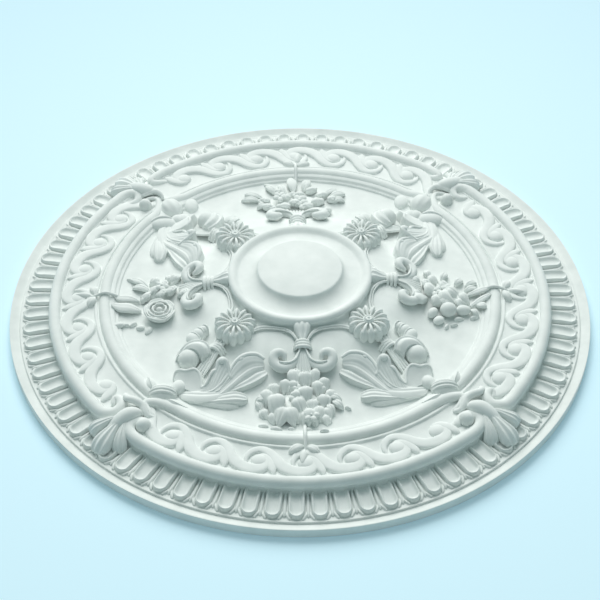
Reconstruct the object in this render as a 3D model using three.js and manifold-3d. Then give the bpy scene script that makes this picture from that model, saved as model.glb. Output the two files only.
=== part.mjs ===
// Ceiling rose: one round casting with a fluted border, four framed panels of running
// scrolls, leaves, daisies, bows and bouquets round a raised central ring.
// It lies face up on its flat back, with the origin at the centre of the back.
import * as THREE from 'three';
import { mergeVertices } from 'three/addons/utils/BufferGeometryUtils.js';
import Module from 'manifold-3d';

// Driving dimensions in millimetres and degrees
const OUTER_RADIUS = 500;
const RIM_HEIGHT = 17.5;
const LEDGE_RADIUS = 484;
const LEDGE_DIP = 4;
const DISC_HEIGHT = 100;
const DISC_RADIUS = 72;
const RING_RADIUS = 118;
const RING_HEIGHT = 92;
const RING_DISH = 6.5;
const FIELD_HEIGHT = 32;
const FIELD_TOP = 64;
const FIELD_RADIUS = 314;
const SLOPE_INNER = 128;
const SLOPE_OUTER = 288;
const CENTRE_SEGMENTS = 24;
const FRIEZE_HEIGHT = 35.5;
const FRIEZE_INNER = 350;
const FRIEZE_OUTER = 410;
const FRAME_HEIGHT = 45;
const OUTER_FRAME_RADIUS = 421;
const INNER_FRAME_RADIUS = 334;
const PANEL_HALF_ANGLE = 39.5;
const TONGUE_COUNT = 80;
const TONGUE_INNER = 433;
const TONGUE_OUTER = 478;
const TONGUE_HEIGHT = 24.5;
const TONGUE_FLOOR = 18.5;
const TONGUE_WIDTH = 27;
const TONGUE_PIT = 19.5;
const WAVES_PER_PANEL = 7;
const WAVE_PITCH = 11;
const WAVE_RADIUS = 386;
const WAVE_HEIGHT = 41.5;
const DAISY_RADIUS = 160;
const DAISY_HEIGHT = 82;
const PETALS = 8;
const PANEL_ANGLES = [0, 90, 180, 270];
const CORNER_ANGLES = [45, 135, 225, 315];

const wasm = await Module();
wasm.setup();

// A closed three.js geometry becomes a solid that can be joined and cut
function solid(geometry) {
  const bare = geometry.clone();
  bare.deleteAttribute('normal');
  bare.deleteAttribute('uv');
  const merged = mergeVertices(bare, 1e-3);
  return new wasm.Manifold(new wasm.Mesh({
    numProp: 3,
    vertProperties: new Float32Array(merged.attributes.position.array),
    triVerts: new Uint32Array(merged.index.array),
  }));
}

// The solid as a geometry again
function geometryOf(body) {
  const mesh = body.getMesh();
  const geometry = new THREE.BufferGeometry();
  geometry.setAttribute('position', new THREE.BufferAttribute(new Float32Array(mesh.vertProperties), 3));
  geometry.setIndex(new THREE.BufferAttribute(new Uint32Array(mesh.triVerts), 1));
  return geometry;
}

// A turned solid from [radius, height] pairs, with its first seam towards -Y
function turned(profile, segments) {
  const points = profile.map(([r, z]) => new THREE.Vector2(r, z));
  return new THREE.LatheGeometry(points, segments).rotateX(Math.PI / 2);
}

// Ornament is drawn with +X outwards and +Y along the ring, then turned to its angle.
// Angle 0 points to -Y and grows towards +X.
function placed(geometry, angle) {
  return geometry.clone().rotateZ(THREE.MathUtils.degToRad(angle - 90));
}

// A flat plate between two heights from an outline of [x, y] pairs
function plate(outline, bottom, top) {
  const shape = new THREE.Shape(outline.map(([x, y]) => new THREE.Vector2(x, y)));
  return new THREE.ExtrudeGeometry(shape, { depth: top - bottom, bevelEnabled: false }).translate(0, 0, bottom);
}

// An outline that is the same on both sides of the X axis, from its first half
function mirrored(half) {
  const back = half.slice(1, -1).reverse().map(([x, y]) => [x, -y]);
  return [...half, ...back].reverse();
}

// A rounded lump with its own length, width and height, turned and set in place
function lump(length, width, height, x, y, z, turn = 0, sides = 6, rows = 3) {
  const ball = new THREE.SphereGeometry(1, sides, rows).rotateX(Math.PI / 2);
  ball.scale(length / 2, width / 2, height / 2);
  return ball.rotateZ(THREE.MathUtils.degToRad(turn)).translate(x, y, z);
}

// A ridged leaf or petal: a long low double pyramid, turned and set in place
function blade(length, width, height, x, y, z, turn = 0) {
  const leaf = new THREE.OctahedronGeometry(1).scale(length / 2, width / 2, height / 2);
  return leaf.rotateZ(THREE.MathUtils.degToRad(turn)).translate(x, y, z);
}

// Moves every point of the upper face up or down by a slope along X
function sloped(geometry, top, startX, endX, endTop) {
  const points = geometry.attributes.position;
  for (let i = 0; i < points.count; i += 1) {
    if (Math.abs(points.getZ(i) - top) < 1e-3) {
      const share = THREE.MathUtils.clamp((points.getX(i) - startX) / (endX - startX), 0, 1);
      points.setZ(i, THREE.MathUtils.lerp(top, endTop, share));
    }
  }
  return geometry;
}

// Height of the field, which climbs in an S curve from the inner frame to the ring
function fieldHeight(radius) {
  const share = THREE.MathUtils.smoothstep(radius, SLOPE_INNER, SLOPE_OUTER);
  return THREE.MathUtils.lerp(FIELD_TOP, FIELD_HEIGHT, share);
}

// The turned body is made of three rings: the border, the frames with the frieze, and the centre
function borderBody() {
  return turned([
    [OUTER_FRAME_RADIUS, 0],
    [OUTER_RADIUS, 0],
    [OUTER_RADIUS, RIM_HEIGHT],
    [LEDGE_RADIUS, RIM_HEIGHT - LEDGE_DIP],
    [TONGUE_OUTER, TONGUE_FLOOR],
    [OUTER_FRAME_RADIUS, TONGUE_FLOOR],
    [OUTER_FRAME_RADIUS, 0],
  ], TONGUE_COUNT);
}

function frameBody() {
  return turned([
    [FIELD_RADIUS - 2, 0],
    [TONGUE_INNER + 3, 0],
    [TONGUE_INNER, TONGUE_FLOOR],
    [OUTER_FRAME_RADIUS, FRAME_HEIGHT],
    [FRIEZE_OUTER, FRIEZE_HEIGHT],
    [FRIEZE_INNER, FRIEZE_HEIGHT],
    [INNER_FRAME_RADIUS, FRAME_HEIGHT + 1],
    [FIELD_RADIUS - 2, 28],
    [FIELD_RADIUS - 2, 0],
  ], TONGUE_COUNT / 2);
}

function centreBody() {
  const field = [260, 225, 190, 160].map((r) => [r, fieldHeight(r)]);
  return turned([
    [0, 0],
    [FIELD_RADIUS + 6, 0],
    [FIELD_RADIUS + 6, FIELD_HEIGHT],
    ...field,
    [127, FIELD_TOP],
    [123, RING_HEIGHT - 6],
    [RING_RADIUS, RING_HEIGHT],
    [108, RING_HEIGHT - RING_DISH],
    [94, RING_HEIGHT - RING_DISH],
    [DISC_RADIUS, DISC_HEIGHT],
    [0, DISC_HEIGHT],
  ], CENTRE_SEGMENTS);
}

// A plate whose upper face sinks to one low point, from an outline that runs anticlockwise
function dish(outline, bottom, top, pit) {
  const points = [];
  outline.forEach(([x, y], i) => {
    const [nextX, nextY] = outline[(i + 1) % outline.length];
    points.push(x, y, bottom, nextX, nextY, bottom, nextX, nextY, top);
    points.push(x, y, bottom, nextX, nextY, top, x, y, top);
    points.push(x, y, top, nextX, nextY, top, ...pit);
    points.push(nextX, nextY, bottom, x, y, bottom, pit[0], pit[1], bottom);
  });
  const geometry = new THREE.BufferGeometry();
  geometry.setAttribute('position', new THREE.Float32BufferAttribute(points, 3));
  return geometry;
}

// Border tongues with a blunt outer end and a hollow face
function tongues() {
  const half = TONGUE_WIDTH / 2;
  const bend = TONGUE_OUTER - half;
  const tongue = dish([
    [TONGUE_INNER - 7, half], [TONGUE_INNER - 7, -half],
    [bend, -half], [TONGUE_OUTER, 0], [bend, half],
  ], TONGUE_FLOOR - 4, TONGUE_HEIGHT, [bend - 6, 0, TONGUE_PIT]);
  return Array.from({ length: TONGUE_COUNT }, (_, i) => (
    solid(placed(tongue, (360 / TONGUE_COUNT) * (i + 0.5)))
  ));
}

// One running scroll: a stem that rises from its tail and rolls into a round volute
function wave(angle) {
  const volute = 21;
  const outline = [[-56, -20], [-26, -27]];
  for (let turn = 240; turn <= 450; turn += 52.5) {
    const at = THREE.MathUtils.degToRad(turn);
    outline.push([volute * Math.cos(at), volute * Math.sin(at)]);
  }
  outline.push([-17, 21], [-29, 8], [-38, -13]);
  const bent = outline.map(([along, out]) => {
    const at = THREE.MathUtils.degToRad(angle) + along / WAVE_RADIUS;
    const radius = WAVE_RADIUS + out;
    return [radius * Math.sin(at), -radius * Math.cos(at)];
  });
  return solid(plate(bent, FRIEZE_HEIGHT - 5, WAVE_HEIGHT));
}

function waves() {
  const first = -(WAVES_PER_PANEL - 1) / 2;
  return PANEL_ANGLES.flatMap((panel) => Array.from({ length: WAVES_PER_PANEL }, (_, i) => (
    wave(panel + (first + i) * WAVE_PITCH)
  )));
}

// The frame closes across the end of each panel with a short bar and a ball
function panelEnd(angle, side) {
  const bar = plate([[344, -8], [412, -8], [412, 8], [344, 8]], FRIEZE_HEIGHT - 3, FRAME_HEIGHT - 2);
  const ball = lump(18, 18, 24, 396, side * -12, FRAME_HEIGHT - 8);
  const end = angle + side * PANEL_HALF_ANGLE;
  return [solid(placed(bar, end)), solid(placed(ball, end))];
}

// Gap in both frames at each corner, where the pendant and bud sit
function cornerGap(angle) {
  const gap = plate(mirrored([[340, 0], [352, 22], [428, 26], [434, 0]]), FRIEZE_HEIGHT - 3, FRAME_HEIGHT + 10);
  return solid(placed(gap, angle));
}

// Leafy pendant over the border and a budded husk inside it, at each corner
function cornerOrnament(angle) {
  const head = 54;
  const tip = 27;
  const leaf = plate(mirrored([[388, 0], [392, 10], [412, 12], [432, 22], [448, 31], [450, 15], [464, 15], [478, 0]]),
    FRIEZE_HEIGHT - 20, head);
  const parts = [
    sloped(leaf, head, 398, 462, tip),
    lump(34, 24, 28, 402, 0, head - 11),
    blade(60, 14, 20, 440, 0, tip + 6),
    lump(48, 44, 42, 330, 0, 34, 0, 8, 4),
    blade(50, 16, 26, 320, 30, 34, 40),
    blade(50, 16, 26, 320, -30, 34, -40),
  ];
  return parts.map((part) => solid(placed(part, angle)));
}

// A daisy head: a deep cup with a star of petals
function daisy(angle) {
  const base = fieldHeight(DAISY_RADIUS) - 8;
  const head = turned([[0, base], [15, base], [31, DAISY_HEIGHT - 3], [12, DAISY_HEIGHT - 5], [0, DAISY_HEIGHT + 2]],
    2 * PETALS);
  const points = head.attributes.position;
  for (let i = 0; i < points.count; i += 1) {
    const x = points.getX(i);
    const y = points.getY(i);
    const step = Math.round(Math.atan2(x, -y) / (Math.PI / PETALS));
    if (Math.hypot(x, y) > 20 && Math.abs(step % 2) === 1) {
      points.setX(i, 0.74 * x);
      points.setY(i, 0.74 * y);
    }
  }
  return [solid(placed(head.translate(DAISY_RADIUS, 0, 0), angle))];
}

// Bow below the ring: nub and tie, straps to the daisies, a fan of stems and two volutes
function bow(angle) {
  const parts = [
    plate([[118, -13], [134, -6], [150, -9], [150, 9], [134, 6], [118, 13]], 55, 77),
    plate([[144, -5], [196, -12], [196, 12], [144, 5]], 40, 62),
  ];
  for (const side of [-1, 1]) {
    const strap = [[140, 6], [148, 10], [132, 60], [120, 96], [116, 94], [126, 58]];
    const bent = strap.map(([x, y]) => [x, side * y]);
    parts.push(plate(side > 0 ? bent : bent.reverse(), 56, 70));
    parts.push(lump(30, 32, 34, 173, side * 42, 58));
  }
  return parts.map((part) => solid(placed(part, angle)));
}

// Bouquet below each bow: open flowers, leaves, and a stem down to the frieze
function bouquet(angle) {
  const flowers = [[222, -10, 40], [248, 26, 44], [262, -26, 42]];
  const leaves = [[208, 24, 44, -60], [236, 62, 46, 70], [244, -64, 46, -70], [288, 34, 44, 40], [292, -20, 50, -20]];
  const parts = flowers.map(([x, y, size], i) => lump(size, size, 42 - 3 * i, x, y, fieldHeight(x) + 4, 15 * i));
  for (const [x, y, length, turn] of leaves) {
    parts.push(blade(length, 18, 26, x, y, fieldHeight(x) + 3, turn));
  }
  parts.push(plate(mirrored([[296, 0], [296, 5], [348, 5], [366, 20], [386, 0]]), 26, FRAME_HEIGHT + 4));
  return parts.map((part) => solid(placed(part, angle)));
}

// Acanthus on a diagonal: a tied sheaf, a spread leaf on one side, a roll and ball on the other
function acanthus(angle, side) {
  const leaf = [
    [262, -12], [230, 16], [206, 50], [190, 84], [200, 102], [222, 76], [234, 106], [250, 74], [286, 66], [288, 6],
  ].map(([x, y]) => [x, side * y]);
  const parts = [
    plate([[174, -9], [216, -7], [250, 0], [216, 7], [174, 9]], 38, 64),
    plate(side > 0 ? leaf.reverse() : leaf, 22, 50),
    blade(110, 30, 34, 232, side * 46, 46, side * 118),
    lump(80, 28, 32, 236, side * -24, 46, side * -50),
    lump(32, 34, 42, 236, side * -38, 50),
    blade(40, 30, 26, 288, side * -6, 36),
  ];
  return parts.map((part) => solid(placed(part, angle)));
}

function casting() {
  const body = wasm.Manifold.union([borderBody(), frameBody(), centreBody()].map(solid));
  const cut = body.subtract(wasm.Manifold.union(CORNER_ANGLES.map(cornerGap)));
  const ornament = [
    ...tongues(),
    ...waves(),
    ...PANEL_ANGLES.flatMap((panel) => [...panelEnd(panel, -1), ...panelEnd(panel, 1), ...bow(panel), ...bouquet(panel)]),
    ...CORNER_ANGLES.flatMap((corner) => [...cornerOrnament(corner), ...daisy(corner)]),
    ...acanthus(45, -1),
    ...acanthus(135, -1),
    ...acanthus(225, 1),
    ...acanthus(315, 1),
  ];
  return cut.add(wasm.Manifold.union(ornament));
}

const plaster = new THREE.MeshStandardMaterial({ color: 0xe9eeec, roughness: 0.85, metalness: 0 });
plaster.name = 'cast_plaster';

const rose = new THREE.Mesh(geometryOf(casting()), plaster);
rose.name = 'ceiling_rose';

const group = new THREE.Group();
group.add(rose);

export default group;
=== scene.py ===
"""A large round plaster ceiling rose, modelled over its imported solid.

Ornament is drawn in millimetres with X outwards from the centre, Y along the ring and Z up,
as it stands on the ground of the rose. It is then stamped round the rose at its angles.
Angle 0 points to -Y, the middle of the front panel, and angles grow towards +X.
"""

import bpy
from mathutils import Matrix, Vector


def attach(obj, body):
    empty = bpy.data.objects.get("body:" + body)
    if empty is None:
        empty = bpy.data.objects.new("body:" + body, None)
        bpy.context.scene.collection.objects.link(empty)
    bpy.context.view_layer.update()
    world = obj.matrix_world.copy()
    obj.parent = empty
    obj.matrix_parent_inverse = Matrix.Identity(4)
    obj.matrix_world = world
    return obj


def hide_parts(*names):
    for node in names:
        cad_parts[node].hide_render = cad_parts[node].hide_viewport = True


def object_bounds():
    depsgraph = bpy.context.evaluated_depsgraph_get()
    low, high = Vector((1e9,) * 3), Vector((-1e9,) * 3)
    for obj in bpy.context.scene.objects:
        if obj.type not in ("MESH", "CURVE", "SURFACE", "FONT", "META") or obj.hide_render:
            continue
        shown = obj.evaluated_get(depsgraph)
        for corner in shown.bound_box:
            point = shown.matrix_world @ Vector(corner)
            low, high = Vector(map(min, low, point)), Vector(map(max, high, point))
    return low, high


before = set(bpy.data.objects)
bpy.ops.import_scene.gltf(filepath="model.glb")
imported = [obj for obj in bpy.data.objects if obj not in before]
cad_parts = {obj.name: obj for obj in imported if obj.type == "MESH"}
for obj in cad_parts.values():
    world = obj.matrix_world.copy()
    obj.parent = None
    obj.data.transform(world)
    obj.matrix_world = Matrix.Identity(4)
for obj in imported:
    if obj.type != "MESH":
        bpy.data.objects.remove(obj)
CAD_BOX = [list(corner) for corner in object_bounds()]

import math

import bmesh
import bpy
from mathutils import Matrix, Vector

bl_info = {
    "name": "Ceiling Rose",
    "version": (1, 0, 0),
    "blender": (4, 5, 0),
    "location": "3D View > Sidebar > Ceiling Rose",
    "description": "Builds a round plaster ceiling rose with its borders, scrolls, leaves and flowers",
    "category": "Add Mesh",
}

NODE = "ceiling_rose"
UP = Vector((0, 0, 1))
DRAWN_RADIUS = 500
DRAWN_HEIGHT = 100
PANELS = (0, 90, 180, 270)
# Angle of each corner, and whether its ornament is mirrored
FRONT_CORNERS = ((-45, False), (45, True))
BACK_CORNERS = ((-135, False), (135, True))
DAISY_ANGLES = (45, 135, 225, 315)
DAISY_RADIUS = 157
# An edge that bends by more than this is shaded as a crease
SHARP_ANGLE = math.radians(50)
# Points nearer than SEAM are one, and slivers thinner than SLIVER are closed up
SEAM = 0.002
SLIVER = 0.001
# Leaves and petals reach this far into the ground, and are nowhere thinner than THINNEST
SUNK = 2
THINNEST = 0.6

# Radius and height of the turned ground, from the disc out to the foot of the tongues
DISC = [(0, 99.6), (69, 99.8), (71.5, 99.2), (72.5, 98)]
COVE = [(73.3, 95.5), (75, 92.6), (78, 89.8), (83, 87.3), (89, 85.8), (96, 85.2), (104, 85.2)]
RING = [(106.5, 86.2), (109, 88.6), (112, 90.8), (115, 91.9), (118, 91.9), (120.8, 90.4), (122.6, 88),
        (123.2, 85.4), (122.4, 83), (121.4, 81.6), (121.4, 77), (122.6, 73.4), (124.6, 71)]
FIELD = [(127, 69.8), (134, 69), (142, 67.8), (150, 66.4), (158, 64.8), (165, 63), (171, 60.8), (177, 58),
         (184, 54.5), (192, 50.6), (200, 47.2), (208, 44), (216, 41.2), (224, 38.9), (232, 37.2), (242, 35.9),
         (254, 34.8), (270, 33.6), (290, 32.6), (312, 32)]
INNER_STEPS = [(313, 32.2), (314, 35), (315, 35.6), (318, 35.6), (319, 36), (320, 39), (321, 39.8),
               (324, 40.4), (327, 41), (336, 41)]
FRIEZE = [(345, 37), (347, 36), (348.2, 36), (349, 38.4), (350, 39), (352.4, 39), (353.4, 38.4),
          (354.2, 35.8), (355, 35.4), (408, 35.4), (408.8, 35.8), (409.2, 37), (410, 37.4),
          (411.5, 37.2), (413, 36)]
OUTER_FOOT = [(420, 34), (429, 30), (430, 26), (431, 24)]
GROUND = DISC + COVE + RING + FIELD + INNER_STEPS + FRIEZE + OUTER_FOOT
BODY_UNDERSIDE = [(433, 0.4), (0, 0.4)]
BODY_STEPS = 240
FRIEZE_FLOOR = 35.4
FRIEZE_MIDDLE = 386

# The tongue border: the section of one tongue by reach from its middle line and height, and the
# radius where its straight sides turn into the round tip
TONGUE = [(0, 20), (3.2, 20.1), (5.8, 20.6), (7.6, 21.6), (8.8, 23.4), (9.6, 24.6), (10.5, 25.2),
          (11.5, 24.8), (12.3, 23.2), (12.8, 20.5), (13.3, 16), (13.4, 11), (7, 11), (0, 11)]
TONGUE_UNDERSIDE = 11
TONGUE_BEND = 464.5
BORDER_INNER = 427
BORDER_FLOOR = [(427, 30), (430, 22), (432.5, 16), (440, 15.4), (470, 14.8), (479, 13.8), (481, 14.6),
                (482.4, 14.6), (482.9, 14.2), (483.2, 11.8), (483.8, 11.2), (486, 11.6), (492, 14.2),
                (497, 16.4), (499, 17.3), (499.8, 17.1), (500, 16.4), (500, 0), (427, 0), (427, 30)]


def linear(hex_code):
    """A linear colour with alpha from an sRGB hex value"""
    parts = [int(hex_code[i:i + 2], 16) / 255 for i in (1, 3, 5)]
    return [v / 12.92 if v <= 0.04045 else ((v + 0.055) / 1.055) ** 2.4 for v in parts] + [1]


def ground(radius):
    """Height of the turned ground at a radius"""
    for (inner, low), (outer, high) in zip(GROUND, GROUND[1:]):
        if inner <= radius <= outer:
            return low + (high - low) * (radius - inner) / max(outer - inner, 1e-6)
    return GROUND[0][1] if radius < GROUND[0][0] else GROUND[-1][1]


def spot(radius, angle, height=0.0):
    """A place from the middle of the rose, its angle counted from an ornament's X axis"""
    turn = math.radians(angle)
    return (radius * math.cos(turn), radius * math.sin(turn), height)


def on_ground(x, y, lift=0.0):
    """A place over the ground"""
    return (x, y, ground(math.hypot(x, y)) + lift)


def clamp(value, low=0.0, high=1.0):
    """The value, kept between low and high"""
    return min(max(value, low), high)


def ease(value, low, high):
    """0 below low, 1 above high, and a smooth step between"""
    share = clamp((value - low) / (high - low))
    return share * share * (3 - 2 * share)


def smooth_path(points, steps=5):
    """A smooth curve through points, each a tuple of like values"""
    ends = [points[0], *points, points[-1]]
    path = []
    for before, here, there, after in zip(ends, ends[1:], ends[2:], ends[3:]):
        for step in range(steps):
            t = step / steps
            path.append(tuple(
                q + 0.5 * t * (r - p + t * (2 * p - 5 * q + 4 * r - s + t * (3 * (q - r) + s - p)))
                for p, q, r, s in zip(before, here, there, after)))
    path.append(tuple(points[-1]))
    return path


def rounded(path):
    """A path of (x, y, z, half width) with a round end at each blunt end"""
    def cap(end, inner):
        here, width = Vector(end[:3]), end[3]
        way = (here - Vector(inner[:3])).normalized()
        return [(*(here + way * width * math.sin(math.radians(a))), width * math.cos(math.radians(a)))
                for a in (30, 55, 75, 88)]
    start = cap(path[0], path[1]) if path[0][3] > 1 else []
    finish = cap(path[-1], path[-2]) if path[-1][3] > 1 else []
    return start[::-1] + list(path) + finish


def pour(target, patch):
    """Closes a small mesh's seams, points its faces out and adds it to another mesh"""
    bmesh.ops.remove_doubles(patch, verts=patch.verts[:], dist=SEAM)
    bmesh.ops.dissolve_degenerate(patch, edges=patch.edges[:], dist=SLIVER)
    bmesh.ops.recalc_face_normals(patch, faces=patch.faces[:])
    mesh = bpy.data.meshes.new("patch")
    patch.to_mesh(mesh)
    patch.free()
    target.from_mesh(mesh)
    bpy.data.meshes.remove(mesh)


def rod(target, points, steps=5, roundness=3, table=0.0):
    """A closed rod along a smooth path of (x, y, z, half width), its top levelled off below table"""
    path = rounded(smooth_path(points, steps))
    curve = bpy.data.curves.new("path", "CURVE")
    curve.dimensions = "3D"
    curve.twist_mode = "MINIMUM"
    curve.bevel_depth = 1.0
    curve.bevel_resolution = roundness
    curve.use_fill_caps = True
    spline = curve.splines.new("POLY")
    spline.points.add(len(path) - 1)
    for knot, (x, y, z, width) in zip(spline.points, path):
        knot.co = (x, y, z, 1)
        knot.radius = width
    holder = bpy.data.objects.new("path", curve)
    mesh = bpy.data.meshes.new_from_object(holder)
    patch = bmesh.new()
    patch.from_mesh(mesh)
    if table:
        level = sum(p[2] for p in path) / len(path)
        for vert in patch.verts:
            rise = max(vert.co.z - level, 0)
            vert.co.z += table * (1 - math.exp(-1.5 * rise / table)) - rise
    bpy.data.objects.remove(holder)
    bpy.data.curves.remove(curve)
    bpy.data.meshes.remove(mesh)
    pour(target, patch)


def add_body(patch, drop=None):
    """Thickens an open surface downwards, by drop or into the ground"""
    grown = bmesh.ops.extrude_face_region(patch, geom=patch.faces[:], use_keep_orig=True)
    for vert in grown["geom"]:
        if isinstance(vert, bmesh.types.BMVert):
            base = ground(vert.co.xy.length) - SUNK
            low = base if drop is None else max(base, vert.co.z - drop)
            vert.co.z = min(vert.co.z - THINNEST, low)


def leaf(target, spine, width, arch=0.3, vein=0.0, ribs=0, belly=0.5, blunt=0.8, rows=16, columns=8,
         drop=None):
    """A leaf or petal along a spine of (x, y, z), its half width largest at belly: domed by arch,
    ribbed, with a raised or sunk vein, and its body carried down by drop or to the ground"""
    patch = bmesh.new()
    bmesh.ops.create_grid(patch, x_segments=columns, y_segments=rows, size=1)
    path = [Vector(p) for p in smooth_path(spine, 6)]
    last = len(path) - 1
    shape = math.log(0.5) / math.log(belly)
    for vert in patch.verts:
        across, along = vert.co.x, clamp((vert.co.y + 1) / 2, 0.002, 0.998)
        at = along * last
        i = min(int(at), last - 1)
        here = path[i].lerp(path[i + 1], at - i)
        ahead = (path[min(i + 2, last)] - path[max(i - 1, 0)]).normalized()
        side = ahead.cross(UP).normalized()
        up = side.cross(ahead)
        half = width * math.sin(math.pi * along ** shape) ** blunt
        lift = arch * half * (1 - across * across) + vein * math.exp(-(across / 0.16) ** 2)
        if ribs:
            lift += 0.09 * half * math.cos(math.pi * ribs * across)
        vert.co = here + side * across * half + up * lift
    add_body(patch, drop)
    pour(target, patch)


def sheet(target, rails, along, across, veins=0, grooves=0, depth=0.5):
    """A surface lofted over rails, each a list of as many (x, y, z) points, with fine veins
    from rail to rail or grooves along them, and a body carried down to the ground"""
    patch = bmesh.new()
    bmesh.ops.create_grid(patch, x_segments=across, y_segments=along, size=1)
    smooth = [smooth_path(rail, 6) for rail in rails]
    last = len(smooth[0]) - 1
    rows = {}
    for vert in patch.verts:
        u, v = clamp((vert.co.y + 1) / 2), clamp((vert.co.x + 1) / 2)
        key = round(u * along)
        if key not in rows:
            i = min(int(u * last), last - 1)
            section = [tuple(Vector(rail[i]).lerp(Vector(rail[i + 1]), u * last - i)) for rail in smooth]
            rows[key] = smooth_path(section, 8)
        section = rows[key]
        at = v * (len(section) - 1)
        j = min(int(at), len(section) - 2)
        vert.co = Vector(section[j]).lerp(Vector(section[j + 1]), at - j)
        if veins:
            fade = math.sin(math.pi * v) * ease(u, 0.35, 0.65)
            vert.co.z += depth * math.cos(2 * math.pi * veins * u) * fade
        if grooves:
            vert.co.z += depth * math.cos(2 * math.pi * grooves * v) * math.sin(math.pi * u) ** 0.5
    add_body(patch)
    pour(target, patch)


def ball(target, centre, size, turn=0, taper=0.0, ribs=0, sides=16, rows=10):
    """A rounded lump of size (length, width, height), slimmer towards +X by taper, ribbed along it"""
    patch = bmesh.new()
    bmesh.ops.create_uvsphere(patch, u_segments=sides, v_segments=rows, radius=0.5)
    bmesh.ops.rotate(patch, verts=patch.verts[:], cent=(0, 0, 0), matrix=Matrix.Rotation(math.pi / 2, 3, "Y"))
    for vert in patch.verts:
        slim = 1 - taper * (vert.co.x + 0.5)
        if ribs:
            slim *= 1 - 0.08 * (1 - abs(math.cos(ribs * math.atan2(vert.co.y, vert.co.z) / 2)))
        vert.co.y *= slim
        vert.co.z *= slim
    bmesh.ops.scale(patch, verts=patch.verts[:], vec=size)
    bmesh.ops.rotate(patch, verts=patch.verts[:], cent=(0, 0, 0),
                     matrix=Matrix.Rotation(math.radians(turn), 3, "Z"))
    bmesh.ops.translate(patch, verts=patch.verts[:], vec=centre)
    pour(target, patch)


def turned(target, profile, steps):
    """A closed turned form from (radius, height) pairs that start and end on the axis or meet"""
    patch = bmesh.new()
    verts = [patch.verts.new((0, -r, z)) for r, z in profile]
    edges = [patch.edges.new(pair) for pair in zip(verts, verts[1:])]
    bmesh.ops.spin(patch, geom=verts + edges, cent=(0, 0, 0), axis=(0, 0, 1), dvec=(0, 0, 0),
                   angle=2 * math.pi, steps=steps, use_merge=True, use_duplicate=False)
    pour(target, patch)


def as_mesh(draw, *details, **settings):
    """An ornament drawn once, as a mesh to stamp"""
    drawn = bmesh.new()
    draw(drawn, *details, **settings)
    mesh = bpy.data.meshes.new("ornament")
    drawn.to_mesh(mesh)
    drawn.free()
    return mesh


def stamp(target, ornament, angle, mirrored=False, offset=(0, 0, 0)):
    """Adds an ornament at its angle on the rose, mirrored across its X axis if asked"""
    copy = ornament.copy()
    place = Matrix.Rotation(math.radians(angle - 90), 4, "Z") @ Matrix.Translation(offset)
    if mirrored:
        place = place @ Matrix.Scale(-1, 4, (0, 1, 0))
    copy.transform(place)
    if mirrored:
        copy.flip_normals()
    target.from_mesh(copy)
    bpy.data.meshes.remove(copy)


def finish_piece(drawn, name):
    """A drawn mesh becomes a named piece in metres, with plaster on it"""
    sizes = bpy.context.scene.rose_sizes
    spread = sizes.radius / DRAWN_RADIUS
    rise = sizes.height / DRAWN_HEIGHT
    bmesh.ops.scale(drawn, verts=drawn.verts[:], vec=(spread, spread, rise))
    for face in drawn.faces:
        face.smooth = True
    for edge in drawn.edges:
        if len(edge.link_faces) == 2 and edge.calc_face_angle(0) > SHARP_ANGLE:
            edge.smooth = False
    mesh = bpy.data.meshes.new(name)
    drawn.to_mesh(mesh)
    drawn.free()
    mesh.materials.append(plaster())
    piece = bpy.data.objects.new(name, mesh)
    bpy.context.scene.collection.objects.link(piece)
    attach(piece, "root")
    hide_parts(NODE)
    return piece


def add_node(tree, kind, links=(), **values):
    """Adds a shader node with its settings, input values and (from socket, input name) links"""
    node = tree.nodes.new(kind)
    for key, value in values.items():
        if hasattr(node, key):
            setattr(node, key, value)
        else:
            node.inputs[key.replace("_", " ")].default_value = value
    for source, name in links:
        tree.links.new(source, node.inputs[name])
    return node


def plaster():
    """Gypsum plaster cast in a flexible mould and sealed white: matt, with a faint mottle,
    a fine mineral grain and the slow waviness of a hand-finished casting"""
    found = bpy.data.materials.get("cast_gypsum_plaster")
    if found:
        return found
    colours = bpy.context.scene.rose_colours
    material = bpy.data.materials.new("cast_gypsum_plaster")
    material.use_nodes = True
    tree = material.node_tree
    tree.nodes.clear()
    place = add_node(tree, "ShaderNodeTexCoord").outputs["Object"]
    # Mottle of about 30 mm where the sealer soaked in unevenly
    mottle = add_node(tree, "ShaderNodeTexNoise", [(place, "Vector")], Scale=33.0, Detail=4.0)
    ramp = add_node(tree, "ShaderNodeMapRange", [(mottle.outputs["Fac"], "Value")],
                    From_Min=0.3, From_Max=0.7)
    tint = add_node(tree, "ShaderNodeMix", [(ramp.outputs["Result"], "Factor")], data_type="RGBA")
    tint.inputs["A"].default_value = linear("#e6ebe9")
    tint.inputs["B"].default_value = list(colours.plaster) + [1]
    # Real grain is about 0.3 mm and too fine to show, so it is drawn at 2 mm
    grain = add_node(tree, "ShaderNodeTexNoise", [(place, "Vector")], Scale=500.0, Detail=3.0)
    waves = add_node(tree, "ShaderNodeTexNoise", [(place, "Vector")], Scale=60.0, Detail=2.0)
    low = add_node(tree, "ShaderNodeBump", [(waves.outputs["Fac"], "Height")], Strength=0.12, Distance=0.002)
    fine = add_node(tree, "ShaderNodeBump",
                    [(grain.outputs["Fac"], "Height"), (low.outputs["Normal"], "Normal")],
                    Strength=0.1, Distance=0.0006)
    rough = add_node(tree, "ShaderNodeMapRange", [(mottle.outputs["Fac"], "Value")], To_Min=0.62, To_Max=0.78)
    shader = add_node(tree, "ShaderNodeBsdfPrincipled", [
        (tint.outputs["Result"], "Base Color"),
        (rough.outputs["Result"], "Roughness"),
        (fine.outputs["Normal"], "Normal"),
    ], IOR=1.52, Metallic=0.0)
    shader.inputs["Specular IOR Level"].default_value = 0.22
    add_node(tree, "ShaderNodeOutputMaterial", [(shader.outputs["BSDF"], "Surface")])
    return material


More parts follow.
